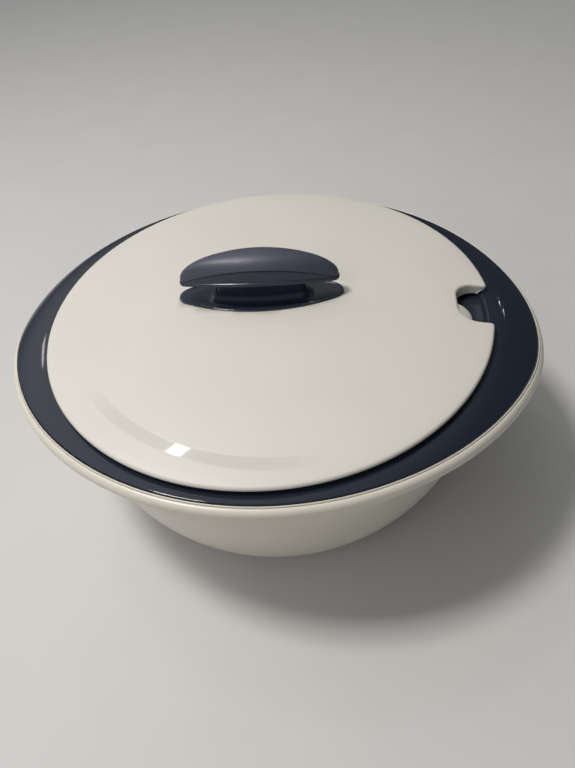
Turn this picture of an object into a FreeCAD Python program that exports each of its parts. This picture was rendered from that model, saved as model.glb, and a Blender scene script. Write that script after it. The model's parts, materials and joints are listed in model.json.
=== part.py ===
import FreeCAD, Part
import math
import os

os.makedirs("parts", exist_ok=True)

V = FreeCAD.Vector

# Insulated serving casserole: an oval double walled bowl, an oval lid that lifts off, and a
# round white cover that turns on the lid to open or close a spoon slot.
# Millimetres. Origin on the table under the axis of the cover, +Z up, +X along the long axis
# of the rim, -Y towards the user.

# Round cover
COVER_RADIUS = 118.0
COVER_EDGE_HEIGHT = 112.0
DOME_RISE = 7.7
COVER_WALL = 2.4
COVER_LIP = 0.9
SKIRT_WALL = 1.8
SKIRT_DRAFT = 0.6
OVERHANG_DROP = 2.4
SKIRT_ABOVE_LID = 1.9

# Spoon notch in the cover and spoon slot in the lid
NOTCH_ANGLE = 2.5
NOTCH_HALF_WIDTH = 14.8
NOTCH_DEPTH = 18.0
NOTCH_CORNER = 10.0
NOTCH_WALL = 1.6
COVER_TURN = 60.0
SLOT_HALF_WIDTH = 12.0
SLOT_INNER_RADIUS = 88.0
SLOT_CORNER = 6.0
CHUTE_WALL = 1.6
STOP_RADIUS = 70.0
STOP_PIN_RADIUS = 3.0
STOP_BLOCK_RADIUS = 4.0
STOP_HEIGHT = 3.0
REST_OFFSET = 7.6
REST_RADIUS = 7.2
REST_DROP = 1.5
REST_THICK = 1.6
REST_SLOPE = 25.0

# Oval outline of the lid and the profile of its rim: a valley under the edge of the cover,
# a crest, and a wing that falls away to the edge
RIM_HALF_LENGTH = 141.0
RIM_HALF_WIDTH = 122.5
RIM_TIP_RADIUS = 89.0
VALLEY_DEPTH = 7.0
VALLEY_RADIUS = 114.0
CREST_RADIUS = 120.5
CREST_RISE = 2.5
WING_TILT = 47.91
WING_CHORDS = 3
LID_SKIN = 2.0
LID_EDGE = 3.2
LID_EDGE_WALL = 2.0

# Rim of the bowl: the flange of the liner lies in the flange of the outer shell
LINER_FLANGE = 1.4
LINER_LIP = 1.3
SHELL_FLANGE = 1.6
SHELL_LIP = 1.9
SHELL_UNDERCUT = 1.0
LIP_BELOW_LID = 0.7
RING_SPARE = 4.0
CUT_SPARE = 1.0

# Bowl
BODY_OVAL_RATIO = 1.06
BODY_TIP_RATIO = 0.93
BODY_BANDS = 9
INNER_BANDS = 4
COLLAR_RADIUS = 115.0
COLLAR_BOTTOM = 73.0
COLLAR_STEP = 3.9
COLLAR_CHAMFER = 0.8
FOOT_RADIUS = 79.5
FOOT_WIDTH = 16.0
BASE_SLOPE = 2.0
BASE_RECESS = 3.0
SHELL_WALL = 2.4
CAVITY_RADIUS = 107.0
CAVITY_DRAFT = 3.5
CAVITY_DEPTH = 86.5
CAVITY_BEND = 42.0
CAVITY_BANDS = 7
CAVITY_FLOOR_RADIUS = 62.0
LINER_WALL = 2.0
FOAM_BELOW_RIM = 2.0
FILL_PLUG_RADIUS = 6.0
FILL_PLUG_FLANGE = 2.0
FILL_PLUG_THICK = 1.0
FOOT_RING_WIDTH = 5.0
FOOT_RING_DEPTH = 2.0
FOOT_RING_PROUD = 0.6

# Inside of the lid
PLUG_RADIUS = 105.2
PLUG_DEPTH = 13.0
PLUG_WALL = 1.8
PLUG_CHAMFER = 3.0

# Pivot of the cover
POST_RADIUS = 7.0
POST_BORE = 4.2
POST_TOP = 110.0
PIVOT_PIN = 3.8
HUB_WALL = 3.0
POST_BELOW_LID = 5.0
WASHER_RADIUS = 8.0
WASHER_THICK = 1.0
SCREW_RADIUS = 1.5
SCREW_HEAD_RADIUS = 3.2
SCREW_HEAD = 2.4
SCREW_SLOT = 0.8
SCREW_GRIP = 9.0
SCREW_TIP_GAP = 1.0
CAP_RADIUS = 11.0
CAP_FLANGE = 1.2
CAP_THICK = 1.2

# Handle
HANDLE_ANGLE = 6.0
HANDLE_OFFSET = -2.7
BASE_HALF_LENGTH = 44.0
BASE_HALF_WIDTH = 16.0
BASE_TIP_RADIUS = 7.0
BASE_FLANGE = 0.8
BASE_FLANGE_WIDTH = 2.2
DISH_DEPTH = 4.2
DISH_WALL = 1.6
GRIP_HALF_LENGTH = 42.0
GRIP_HALF_WIDTH = 11.0
GRIP_TIP_RADIUS = 4.5
GRIP_LEAN = 1.6
GRIP_TIP_HEIGHT = 15.6
GRIP_ARCH = 3.6
GRIP_BEAD = 2.0
GRIP_BEAD_PROUD = 0.5
CREASE_RISE = 11.0
CREASE_AT_TIP = 1.2
CROWN_BULGE = 4.2
CROWN_AT_TIP = 4.0
WEB_HALF_LENGTH = 27.0
WEB_HALF_WIDTH = 4.5
WEB_TIP_RADIUS = 3.5
HANDLE_SCREW_SPACING = 36.0
CLAMP_PLATE = 2.0
CLAMP_OVERLAP = 3.0

# Clearances
RUNNING = 0.3
SEAT = 0.3
WELD = 0.2
FOAM_GAP = 0.3
THREAD_FIT = 0.05

# Heights and radii that follow from the sizes above
VALLEY_TOP = COVER_EDGE_HEIGHT - VALLEY_DEPTH
CREST_TOP = VALLEY_TOP + CREST_RISE
DOME_TOP = COVER_EDGE_HEIGHT + DOME_RISE
DOME_SPHERE = (COVER_RADIUS ** 2 + DOME_RISE ** 2) / (2 * DOME_RISE)
LINER_TOP = LID_EDGE + SEAT
LINER_BOTTOM = LINER_TOP + LINER_FLANGE
SHELL_TOP = LINER_BOTTOM + WELD
SHELL_BOTTOM = SHELL_TOP + SHELL_FLANGE
LINER_LIP_INNER = SEAT
LINER_LIP_OUTER = LINER_LIP_INNER + LINER_LIP
SHELL_LIP_INNER = LINER_LIP_OUTER + WELD
SHELL_LIP_OUTER = SHELL_LIP_INNER + SHELL_LIP
RING_REACH = RIM_HALF_LENGTH + SHELL_LIP_OUTER + RING_SPARE
WING_SPAN = RING_REACH - CREST_RADIUS
WING_RADIUS = WING_SPAN / math.sin(math.radians(WING_TILT))
SKIRT_BOTTOM = VALLEY_TOP + SKIRT_ABOVE_LID
HUB_BOTTOM = VALLEY_TOP + SEAT
LID_UNDER = VALLEY_TOP - LID_SKIN
PLUG_BOTTOM = LID_UNDER - PLUG_DEPTH
BASE_TOP = BASE_RECESS + SHELL_WALL
FOOT_RING_RADIUS = FOOT_RADIUS - FOOT_WIDTH / 2
CAVITY_FLOOR = VALLEY_TOP - LINER_TOP - CAVITY_DEPTH
SKIRT_RADIUS = VALLEY_RADIUS - RUNNING
STOP_ANGLE = NOTCH_ANGLE + 180.0
POST_BOTTOM = LID_UNDER - POST_BELOW_LID
PIN_BOTTOM = POST_BOTTOM - SEAT
DISH_BOTTOM = DOME_TOP + BASE_FLANGE - DISH_DEPTH
CLAMP_BOTTOM = DISH_BOTTOM - DISH_WALL - WELD - CLAMP_PLATE
GRIP_BOTTOM = COVER_EDGE_HEIGHT + GRIP_TIP_HEIGHT
CREASE_TIP = GRIP_BOTTOM + CREASE_AT_TIP
CREASE_MIDDLE = CREASE_TIP + CREASE_RISE
GRIP_TOP = CREASE_MIDDLE + CROWN_BULGE


def outline(half_length, half_width, tip_radius, z, grow=0.0):
    """Oval of two wide arcs and two tip arcs, as a flat face at height z."""
    tip_centre = half_length - tip_radius
    rise = half_width - tip_radius
    offset = (tip_centre ** 2 - rise ** 2) / (2 * rise)
    side = half_width + offset
    run = math.hypot(tip_centre, offset)
    join_x = tip_centre + (tip_radius + grow) * tip_centre / run
    join_y = (tip_radius + grow) * offset / run
    end = half_length + grow
    top = side + grow - offset
    arcs = [
        Part.Arc(V(join_x, -join_y, z), V(end, 0, z), V(join_x, join_y, z)),
        Part.Arc(V(join_x, join_y, z), V(0, top, z), V(-join_x, join_y, z)),
        Part.Arc(V(-join_x, join_y, z), V(-end, 0, z), V(-join_x, -join_y, z)),
        Part.Arc(V(-join_x, -join_y, z), V(0, -top, z), V(join_x, -join_y, z)),
    ]
    return Part.Face(Part.Wire([arc.toShape() for arc in arcs]))


def rim_prism(grow):
    """Upright prism of the rim's outline, grown outwards, over the whole height."""
    face = outline(RIM_HALF_LENGTH, RIM_HALF_WIDTH, RIM_TIP_RADIUS, 0, grow)
    return face.extrude(V(0, 0, DOME_TOP))


def profile(start, *steps):
    """Closed face in the XZ plane. A step is a point, (middle, end) of an arc, or (edge, end)."""
    edges = []
    here = V(start[0], 0, start[1])
    first = here
    for step in steps:
        if isinstance(step[0], Part.Shape):
            there = V(step[1][0], 0, step[1][1])
            edges.append(step[0])
        elif isinstance(step[0], tuple):
            middle = V(step[0][0], 0, step[0][1])
            there = V(step[1][0], 0, step[1][1])
            edges.append(Part.Arc(here, middle, there).toShape())
        else:
            there = V(step[0], 0, step[1])
            if here.distanceToPoint(there) > 1e-6:
                edges.append(Part.makeLine(here, there))
        here = there
    if here.distanceToPoint(first) > 1e-6:
        edges.append(Part.makeLine(here, first))
    return Part.Face(Part.Wire(edges))


def turned(face):
    """Solid of revolution about the Z axis."""
    return face.revolve(V(0, 0, 0), V(0, 0, 1), 360)


def arc_middle(centre, start, end):
    """Middle point of the short arc from start to end about centre."""
    radius = math.hypot(start[0] - centre[0], start[1] - centre[1])
    mid = ((start[0] + end[0]) / 2 - centre[0], (start[1] + end[1]) / 2 - centre[1])
    size = math.hypot(*mid)
    return (centre[0] + mid[0] * radius / size, centre[1] + mid[1] * radius / size)


def wing_fall(radius):
    """How far the wing lies below the crest at a radius."""
    return WING_RADIUS - math.sqrt(WING_RADIUS ** 2 - (radius - CREST_RADIUS) ** 2)


def rim_points(drop):
    """Rim profile as chords: valley, crest and the wing, lowered by drop."""
    radii = [CREST_RADIUS + WING_SPAN * k / WING_CHORDS for k in range(WING_CHORDS + 1)]
    wing = [(r, CREST_TOP - drop - wing_fall(r)) for r in radii]
    return [(VALLEY_RADIUS, VALLEY_TOP - drop)] + wing


def rim_face():
    """Steps of the rim's upper face, whose wing is one arc."""
    valley, crest = rim_points(0.0)[:2]
    end = rim_points(0.0)[-1]
    return [valley, crest, (arc_middle((crest[0], crest[1] - WING_RADIUS), crest, end), end)]


def rim_band(top_drop, bottom_drop, inner_radius):
    """Ring between two lowered copies of the rim profile, from inner_radius outwards."""
    top = rim_face() if top_drop == 0 else rim_points(top_drop)
    inner = min(inner_radius, VALLEY_RADIUS - SEAT)
    low = VALLEY_TOP - bottom_drop
    back = reversed(rim_points(bottom_drop))
    return turned(profile((inner, low), (inner, VALLEY_TOP - top_drop), *top, *back))


def below_rim(drop):
    """Everything under the lowered rim profile, used to trim what ends inside a flange."""
    points = rim_points(drop)
    return turned(profile((0, 0), (0, VALLEY_TOP - drop), *points, (RING_REACH, 0)))


def stretched(radius, z):
    """Oval wire of the bowl's body whose short half width is radius."""
    tip = radius * BODY_TIP_RATIO
    return outline(radius * BODY_OVAL_RATIO, radius, tip, z).OuterWire


def stack(levels):
    """Solid through the body's ovals at (radius, height) levels, straight from one to the next."""
    return Part.makeLoft([stretched(radius, z) for radius, z in levels], True, True)


def dome(offset=0.0):
    """Ball whose cap is the top of the cover, shrunk by offset. Its poles lie level."""
    ball = Part.makeSphere(DOME_SPHERE - offset)
    ball.rotate(V(0, 0, 0), V(0, 1, 0), 90)
    ball.rotate(V(0, 0, 0), V(1, 0, 0), 90)
    ball.translate(V(0, 0, DOME_TOP - DOME_SPHERE))
    return ball


def dome_height(radius, offset=0.0):
    ball = DOME_SPHERE - offset
    return DOME_TOP - DOME_SPHERE + math.sqrt(ball ** 2 - radius ** 2)


def turn(shape, degrees):
    shape.rotate(V(0, 0, 0), V(0, 0, 1), degrees)
    return shape


def on_cover(shape):
    """Puts a piece of the handle, made about the axis, where it stands on the cover."""
    shape.translate(V(HANDLE_OFFSET, 0, 0))
    return turn(shape, HANDLE_ANGLE)


def u_prism(inner, outer, half_width, corner, low, high):
    """Prism of a slot that opens outwards, with rounded inner corners, along +X."""
    a = V(outer, -half_width, low)
    b = V(inner + corner, -half_width, low)
    c = V(inner, -half_width + corner, low)
    d = V(inner, half_width - corner, low)
    e = V(inner + corner, half_width, low)
    f = V(outer, half_width, low)
    k = corner * (1 - math.sqrt(0.5))
    edges = [
        Part.makeLine(a, b),
        Part.Arc(b, V(inner + k, -half_width + k, low), c).toShape(),
        Part.makeLine(c, d),
        Part.Arc(d, V(inner + k, half_width - k, low), e).toShape(),
        Part.makeLine(e, f),
        Part.makeLine(f, a),
    ]
    return Part.Face(Part.Wire(edges)).extrude(V(0, 0, high - low))


# Bowl


def body_solid(inset, floor, top, bands):
    """Filled body and collar of the bowl, set in by a wall. The side is a quarter ellipse."""
    spread = COLLAR_RADIUS - COLLAR_STEP - inset - FOOT_RADIUS
    levels = []
    for k in range(bands + 1):
        angle = math.pi / 2 * k / bands
        levels.append((FOOT_RADIUS + spread * math.sin(angle),
                       COLLAR_BOTTOM - (COLLAR_BOTTOM - floor) * math.cos(angle)))
    collar = COLLAR_RADIUS - inset
    ledge = COLLAR_BOTTOM + inset
    levels.append((levels[-1][0], ledge + COLLAR_CHAMFER))
    upper = [(collar - COLLAR_CHAMFER, ledge), (collar, ledge + COLLAR_CHAMFER), (collar, top)]
    return stack(levels).fuse(stack(upper))


def foot_ring_band(grow, low, high):
    """Ring under the foot, in the same oval as the body."""
    outer = FOOT_RING_RADIUS + FOOT_RING_WIDTH / 2 + grow
    inner = FOOT_RING_RADIUS - FOOT_RING_WIDTH / 2 - grow
    return stack([(outer, low), (outer, high)]).cut(stack([(inner, low), (inner, high)]))


def lip_band(inner_grow, outer_grow, bottom_drop):
    """Upstanding lip that follows the rim between two outlines."""
    band = rim_band(LIP_BELOW_LID, bottom_drop, VALLEY_RADIUS)
    return band.common(rim_prism(outer_grow)).cut(rim_prism(inner_grow))


def outer_shell():
    body = body_solid(0.0, FOOT_RING_PROUD, CREST_TOP, BODY_BANDS)
    body = body.cut(body_solid(SHELL_WALL, BASE_TOP, CREST_TOP + CUT_SPARE, INNER_BANDS))
    body = body.common(below_rim(SHELL_TOP + SHELL_FLANGE / 2))
    flange = rim_band(SHELL_TOP, SHELL_BOTTOM, COLLAR_RADIUS - SHELL_WALL - WELD)
    flange = flange.common(rim_prism(SHELL_LIP_OUTER - SHELL_UNDERCUT))
    lip = lip_band(SHELL_LIP_INNER, SHELL_LIP_OUTER, SHELL_TOP)
    shell = body.fuse(flange).fuse(lip)
    inner = FOOT_RADIUS - FOOT_WIDTH
    shell = shell.cut(stack([(inner, 0), (inner - BASE_SLOPE, BASE_RECESS)]))
    shell = shell.cut(foot_ring_band(0.0, 0.0, FOOT_RING_PROUD + FOOT_RING_DEPTH))
    return shell.cut(Part.makeCylinder(FILL_PLUG_RADIUS, BASE_TOP + SHELL_WALL))


def foot_ring():
    return foot_ring_band(-WELD, 0.0, FOOT_RING_PROUD + FOOT_RING_DEPTH - WELD)


def fill_plug():
    low = BASE_RECESS - FILL_PLUG_THICK
    stem = Part.makeCylinder(FILL_PLUG_RADIUS - WELD, BASE_TOP - low, V(0, 0, low))
    head = Part.makeCylinder(FILL_PLUG_RADIUS + FILL_PLUG_FLANGE, FILL_PLUG_THICK, V(0, 0, low))
    return stem.fuse(head)


def cavity(grow, bands):
    """The hollow of the liner, or with grow the solid of its outside."""
    side = CAVITY_RADIUS - CAVITY_DRAFT + grow
    spread = side - CAVITY_FLOOR_RADIUS
    floor = CAVITY_FLOOR - grow
    bend = CAVITY_FLOOR + CAVITY_BEND
    points = [(0, floor)]
    for k in range(bands + 1):
        angle = math.pi / 2 * k / bands
        points.append((CAVITY_FLOOR_RADIUS + spread * math.sin(angle),
                       bend - (bend - floor) * math.cos(angle)))
    rim = (CAVITY_RADIUS + grow, VALLEY_TOP)
    return turned(profile(*points, rim, (0, VALLEY_TOP)))


def liner():
    wall = cavity(LINER_WALL, INNER_BANDS).common(below_rim(LINER_TOP))
    ring = rim_band(LINER_TOP, LINER_BOTTOM, CAVITY_RADIUS + LINER_WALL / 2)
    ring = ring.common(rim_prism(LINER_LIP_OUTER))
    lip = lip_band(LINER_LIP_INNER, LINER_LIP_OUTER, LINER_BOTTOM)
    return wall.fuse(ring).fuse(lip).cut(cavity(0.0, CAVITY_BANDS)).removeSplitter()


def bowl_insulation():
    top = VALLEY_TOP - SHELL_BOTTOM - FOAM_BELOW_RIM
    foam = body_solid(SHELL_WALL + FOAM_GAP, BASE_TOP + FOAM_GAP, top, INNER_BANDS)
    return foam.cut(cavity(LINER_WALL + FOAM_GAP, INNER_BANDS))


# Lid


def slot_prism(grow, low, high):
    """The spoon slot in the lid, where the notch of the cover comes when it is turned."""
    prism = u_prism(SLOT_INNER_RADIUS - grow, CAVITY_RADIUS,
                    SLOT_HALF_WIDTH + grow, SLOT_CORNER + grow, low, high)
    reach = Part.makeCylinder(PLUG_RADIUS, high - low, V(0, 0, low))
    return turn(prism.common(reach), NOTCH_ANGLE + COVER_TURN)


def stop_blocks():
    """Two blocks on the lid that end the travel of the pin under the cover."""
    reach = math.degrees((STOP_PIN_RADIUS + STOP_BLOCK_RADIUS + RUNNING) / STOP_RADIUS)
    blocks = []
    for angle in (STOP_ANGLE - reach, STOP_ANGLE + COVER_TURN + reach):
        block = Part.makeCylinder(STOP_BLOCK_RADIUS, STOP_HEIGHT + LID_SKIN / 2,
                                  V(STOP_RADIUS, 0, VALLEY_TOP - LID_SKIN / 2))
        blocks.append(turn(block, angle))
    return blocks


def lid_top():
    lid = rim_band(0.0, LID_SKIN, 0.0).common(rim_prism(0.0))
    edge = rim_band(0.0, LID_EDGE, VALLEY_RADIUS).common(rim_prism(0.0))
    lid = lid.fuse(edge.cut(rim_prism(-LID_EDGE_WALL))).removeSplitter()
    lid = lid.fuse(Part.makeCylinder(POST_RADIUS, POST_TOP - POST_BOTTOM, V(0, 0, POST_BOTTOM)))
    lid = lid.fuse(slot_prism(CHUTE_WALL, PLUG_BOTTOM, LID_UNDER + LID_SKIN / 2))
    for block in stop_blocks():
        lid = lid.fuse(block)
    lid = lid.cut(slot_prism(0.0, PLUG_BOTTOM, VALLEY_TOP))
    return lid.cut(Part.makeCylinder(POST_BORE, POST_TOP - POST_BOTTOM, V(0, 0, POST_BOTTOM)))


def lid_inner():
    cup = Part.makeCylinder(PLUG_RADIUS, PLUG_DEPTH, V(0, 0, PLUG_BOTTOM))
    cup = cup.makeChamfer(PLUG_CHAMFER, [cup.Edges[2]])
    room = Part.makeCylinder(PLUG_RADIUS - PLUG_WALL, PLUG_DEPTH, V(0, 0, PLUG_BOTTOM + PLUG_WALL))
    cup = cup.cut(room).cut(slot_prism(CHUTE_WALL + WELD, PLUG_BOTTOM, LID_UNDER))
    return cup.cut(Part.makeCylinder(CAP_RADIUS, PLUG_WALL, V(0, 0, PLUG_BOTTOM)))


def lid_insulation():
    low = PLUG_BOTTOM + PLUG_WALL + FOAM_GAP
    high = LID_UNDER - FOAM_GAP
    foam = Part.makeCylinder(PLUG_RADIUS - PLUG_WALL - FOAM_GAP, high - low, V(0, 0, low))
    foam = foam.cut(slot_prism(CHUTE_WALL + FOAM_GAP, low, high))
    return foam.cut(Part.makeCylinder(CAP_RADIUS + FOAM_GAP, high - low, V(0, 0, low)))


def pivot_cap():
    plug = Part.makeCylinder(CAP_RADIUS - WELD, PLUG_WALL, V(0, 0, PLUG_BOTTOM))
    head = Part.makeCylinder(CAP_RADIUS + CAP_FLANGE, CAP_THICK, V(0, 0, PLUG_BOTTOM - CAP_THICK))
    return plug.fuse(head)


# Cover


def cover_envelope():
    """Filled outside of the cover from its dome down to the bottom of its skirt."""
    lip_top = (COVER_RADIUS - COVER_LIP / 2, dome_height(COVER_RADIUS - COVER_LIP / 2))
    lip_end = (lip_top[0], lip_top[1] - 2 * COVER_LIP)
    nose = (COVER_RADIUS, lip_top[1] - COVER_LIP / 2)
    chin = (COVER_RADIUS, lip_end[1] + COVER_LIP / 2)
    skirt = (SKIRT_RADIUS, COVER_EDGE_HEIGHT - OVERHANG_DROP - COVER_LIP)
    hem = (SKIRT_RADIUS - SKIRT_DRAFT, SKIRT_BOTTOM)
    drum = profile((0, SKIRT_BOTTOM), hem, skirt, lip_end, chin, nose, lip_top,
                   (lip_top[0], DOME_TOP), (0, DOME_TOP))
    return turned(drum).common(dome())


def cover_room():
    """Filled inside of the cover under its dome and within its skirt."""
    low = SKIRT_BOTTOM
    inner = SKIRT_RADIUS - SKIRT_WALL
    shoulder = (inner - COVER_WALL, dome_height(inner - COVER_WALL, COVER_WALL))
    haunch = (inner, COVER_EDGE_HEIGHT - OVERHANG_DROP - COVER_WALL)
    drum = profile((0, low), (inner - SKIRT_DRAFT, low), haunch, shoulder,
                   (shoulder[0], DOME_TOP), (0, DOME_TOP))
    return turned(drum).common(dome(COVER_WALL))


def notch_prism(grow):
    inner = COVER_RADIUS - NOTCH_DEPTH - grow
    return u_prism(inner, COVER_RADIUS + CUT_SPARE, NOTCH_HALF_WIDTH + grow, NOTCH_CORNER + grow,
                   SKIRT_BOTTOM - grow, DOME_TOP)


def spoon_rest():
    """Small round tongue that slopes down into the near inner corner of the notch."""
    root = COVER_RADIUS - NOTCH_DEPTH
    low = dome_height(root) - REST_DROP
    disc = Part.makeCylinder(REST_RADIUS, REST_THICK, V(root, -REST_OFFSET, low - REST_THICK))
    disc.rotate(V(root, 0, low), V(0, 1, 0), REST_SLOPE)
    return disc.common(notch_prism(NOTCH_WALL / 2))


def cover():
    envelope = cover_envelope()
    shape = envelope.cut(cover_room())
    wall = notch_prism(NOTCH_WALL).cut(notch_prism(0.0))
    wall = turn(wall, NOTCH_ANGLE).common(envelope)
    shape = shape.fuse(wall).cut(turn(notch_prism(0.0), NOTCH_ANGLE))
    shape = shape.fuse(turn(spoon_rest(), NOTCH_ANGLE).common(envelope))
    opening = base_prism(WELD - BASE_FLANGE_WIDTH, VALLEY_TOP, DOME_TOP)
    shape = shape.cut(on_cover(opening))
    low = VALLEY_TOP + SEAT
    pin = Part.makeCylinder(STOP_PIN_RADIUS, DOME_TOP - low, V(STOP_RADIUS, 0, low))
    pin = turn(pin, STOP_ANGLE).common(dome(COVER_WALL / 2))
    return shape.fuse(pin)


# Handle


def base_prism(grow, low, high):
    face = outline(BASE_HALF_LENGTH, BASE_HALF_WIDTH, BASE_TIP_RADIUS, low, grow)
    return face.extrude(V(0, 0, high - low))


def barrel(half, edge_z, middle_z, flat_z, axis_z, reach):
    """Solid under or over an arc across the handle, swept along it about a far cross axis."""
    corners = [V(0, half, edge_z), V(0, half, flat_z), V(0, -half, flat_z), V(0, -half, edge_z)]
    arc = Part.Arc(corners[3], V(0, 0, middle_z), corners[0]).toShape()
    sides = [Part.makeLine(a, b) for a, b in zip(corners[:3], corners[1:])]
    face = Part.Face(Part.Wire([arc] + sides))
    sweep = 2 * math.degrees(math.asin(reach / abs(axis_z - middle_z)))
    face.rotate(V(0, 0, axis_z), V(0, 1, 0), -sweep / 2)
    return face.revolve(V(0, 0, axis_z), V(0, 1, 0), sweep)


def scoop(lift=0.0):
    """Hollow of the dish and the room over it, lifted off the dish by a gap."""
    bottom = DISH_BOTTOM + lift
    half = BASE_HALF_WIDTH - BASE_FLANGE_WIDTH / 2
    axis = bottom + (BASE_HALF_LENGTH ** 2 + DISH_DEPTH ** 2) / (2 * DISH_DEPTH)
    return barrel(half, bottom + DISH_DEPTH, bottom, CREASE_MIDDLE, axis,
                  BASE_HALF_LENGTH + BASE_FLANGE_WIDTH)


def screw_holes(radius, low, length):
    """Two upright drillings for the screws of the handle."""
    half = HANDLE_SCREW_SPACING / 2
    pair = [Part.makeCylinder(radius, length, V(x, 0, low)) for x in (-half, half)]
    return pair[0].fuse(pair[1])


def handle_base():
    low = DISH_BOTTOM - DISH_WALL
    flange = on_cover(base_prism(0.0, VALLEY_TOP, GRIP_BOTTOM))
    flange = flange.common(dome(-BASE_FLANGE)).cut(dome(-WELD / 2))
    dish = on_cover(base_prism(-BASE_FLANGE_WIDTH, low, GRIP_BOTTOM)).common(dome(-BASE_FLANGE))
    plate = flange.fuse(dish).cut(on_cover(scoop()))
    return plate.cut(on_cover(screw_holes(SCREW_RADIUS + RUNNING, low, DISH_DEPTH)))


def arch_slab(low_tip, low_middle, high_tip, high_middle):
    """Solid between two arches seen from the side, across the whole handle."""
    reach = GRIP_HALF_LENGTH
    end = reach + GRIP_BEAD
    face = profile((-end, low_tip), (-reach, low_tip), ((0, low_middle), (reach, low_tip)),
                   (end, low_tip), (end, high_tip), (reach, high_tip),
                   ((0, high_middle), (-reach, high_tip)), (-end, high_tip))
    face.translate(V(0, -BASE_HALF_WIDTH, 0))
    return face.extrude(V(0, 2 * BASE_HALF_WIDTH, 0))


def grip_block():
    """Leaning sides of the grip from its lip to its crown."""
    low = outline(GRIP_HALF_LENGTH - GRIP_BEAD_PROUD, GRIP_HALF_WIDTH - GRIP_BEAD_PROUD,
                  GRIP_TIP_RADIUS - GRIP_BEAD_PROUD, GRIP_BOTTOM)
    high = outline(GRIP_HALF_LENGTH - GRIP_BEAD_PROUD, GRIP_HALF_WIDTH - GRIP_BEAD_PROUD,
                   GRIP_TIP_RADIUS - GRIP_BEAD_PROUD, GRIP_TOP, -GRIP_LEAN)
    return Part.makeLoft([low.OuterWire, high.OuterWire], True, True)


def handle_grip():
    """Grip on its web, with a rolled lip along its bottom edge."""
    body = grip_block().common(arch_slab(GRIP_BOTTOM, GRIP_BOTTOM + GRIP_ARCH,
                                         CREASE_TIP, CREASE_MIDDLE))
    bead = outline(GRIP_HALF_LENGTH, GRIP_HALF_WIDTH, GRIP_TIP_RADIUS, GRIP_BOTTOM)
    bead = bead.extrude(V(0, 0, CREASE_MIDDLE - GRIP_BOTTOM))
    bead = bead.common(arch_slab(GRIP_BOTTOM, GRIP_BOTTOM + GRIP_ARCH,
                                 GRIP_BOTTOM + GRIP_BEAD, GRIP_BOTTOM + GRIP_ARCH + GRIP_BEAD))
    web = outline(WEB_HALF_LENGTH, WEB_HALF_WIDTH, WEB_TIP_RADIUS, DISH_BOTTOM)
    web = web.extrude(V(0, 0, GRIP_BOTTOM + GRIP_ARCH + GRIP_BEAD - DISH_BOTTOM))
    grip = body.fuse(bead).fuse(web.common(scoop(WELD / 2)))
    return on_cover(grip.cut(screw_holes(SCREW_RADIUS, DISH_BOTTOM, SCREW_GRIP)))


def grip_crown():
    """Satin top of the grip, arched along and across."""
    tip = CREASE_TIP + CROWN_AT_TIP
    rise = GRIP_TOP - tip
    axis = GRIP_TOP - (GRIP_HALF_LENGTH ** 2 + rise ** 2) / (2 * rise)
    top = barrel(GRIP_HALF_WIDTH, GRIP_TOP - CROWN_BULGE, GRIP_TOP, GRIP_TOP - rise, axis,
                 GRIP_HALF_LENGTH + CROWN_AT_TIP)
    seat = arch_slab(GRIP_BOTTOM - GRIP_ARCH, GRIP_BOTTOM, CREASE_TIP + WELD / 2,
                     CREASE_MIDDLE + WELD / 2)
    return on_cover(grip_block().common(top).cut(seat))


# Pivot


def clamp_plate():
    """Tray under the cover that pulls the handle down and carries the pivot."""
    low = CLAMP_BOTTOM
    tray = base_prism(CLAMP_OVERLAP - BASE_FLANGE_WIDTH, low, DOME_TOP)
    tray = tray.cut(base_prism(WELD - BASE_FLANGE_WIDTH, low + CLAMP_PLATE, DOME_TOP))
    tray = on_cover(tray.cut(screw_holes(SCREW_RADIUS + RUNNING, low, CLAMP_PLATE)))
    tray = tray.common(dome(COVER_WALL + WELD / 2))
    bore = POST_RADIUS + RUNNING
    hub = Part.makeCylinder(bore + HUB_WALL, low - HUB_BOTTOM, V(0, 0, HUB_BOTTOM))
    hub = hub.cut(Part.makeCylinder(bore, low - HUB_BOTTOM, V(0, 0, HUB_BOTTOM)))
    pin = Part.makeCylinder(PIVOT_PIN, low - PIN_BOTTOM, V(0, 0, PIN_BOTTOM))
    plate = tray.fuse(hub).fuse(pin)
    return plate.cut(Part.makeCylinder(SCREW_RADIUS, SCREW_GRIP, V(0, 0, PIN_BOTTOM)))


def screw(x, seat, length):
    """Round headed screw that points up, with its head under the seat height."""
    head = Part.makeCylinder(SCREW_HEAD_RADIUS, SCREW_HEAD, V(x, 0, seat - SCREW_HEAD))
    shank = Part.makeCylinder(SCREW_RADIUS - THREAD_FIT, length, V(x, 0, seat))
    slot = Part.makeBox(2 * SCREW_HEAD_RADIUS, SCREW_SLOT, SCREW_SLOT,
                        V(x - SCREW_HEAD_RADIUS, -SCREW_SLOT / 2, seat - SCREW_HEAD))
    return head.fuse(shank).cut(slot)


def handle_screws():
    length = DISH_BOTTOM - CLAMP_BOTTOM + SCREW_GRIP - SCREW_TIP_GAP
    half = HANDLE_SCREW_SPACING / 2
    pair = [screw(x, CLAMP_BOTTOM, length) for x in (-half, half)]
    return on_cover(Part.makeCompound(pair))


def pivot_washer():
    low = PIN_BOTTOM - WASHER_THICK
    ring = Part.makeCylinder(WASHER_RADIUS, WASHER_THICK, V(0, 0, low))
    return ring.cut(Part.makeCylinder(SCREW_RADIUS, WASHER_THICK, V(0, 0, low)))


def pivot_screw():
    return screw(0, PIN_BOTTOM - WASHER_THICK, WASHER_THICK + SCREW_GRIP - SCREW_TIP_GAP)


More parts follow.
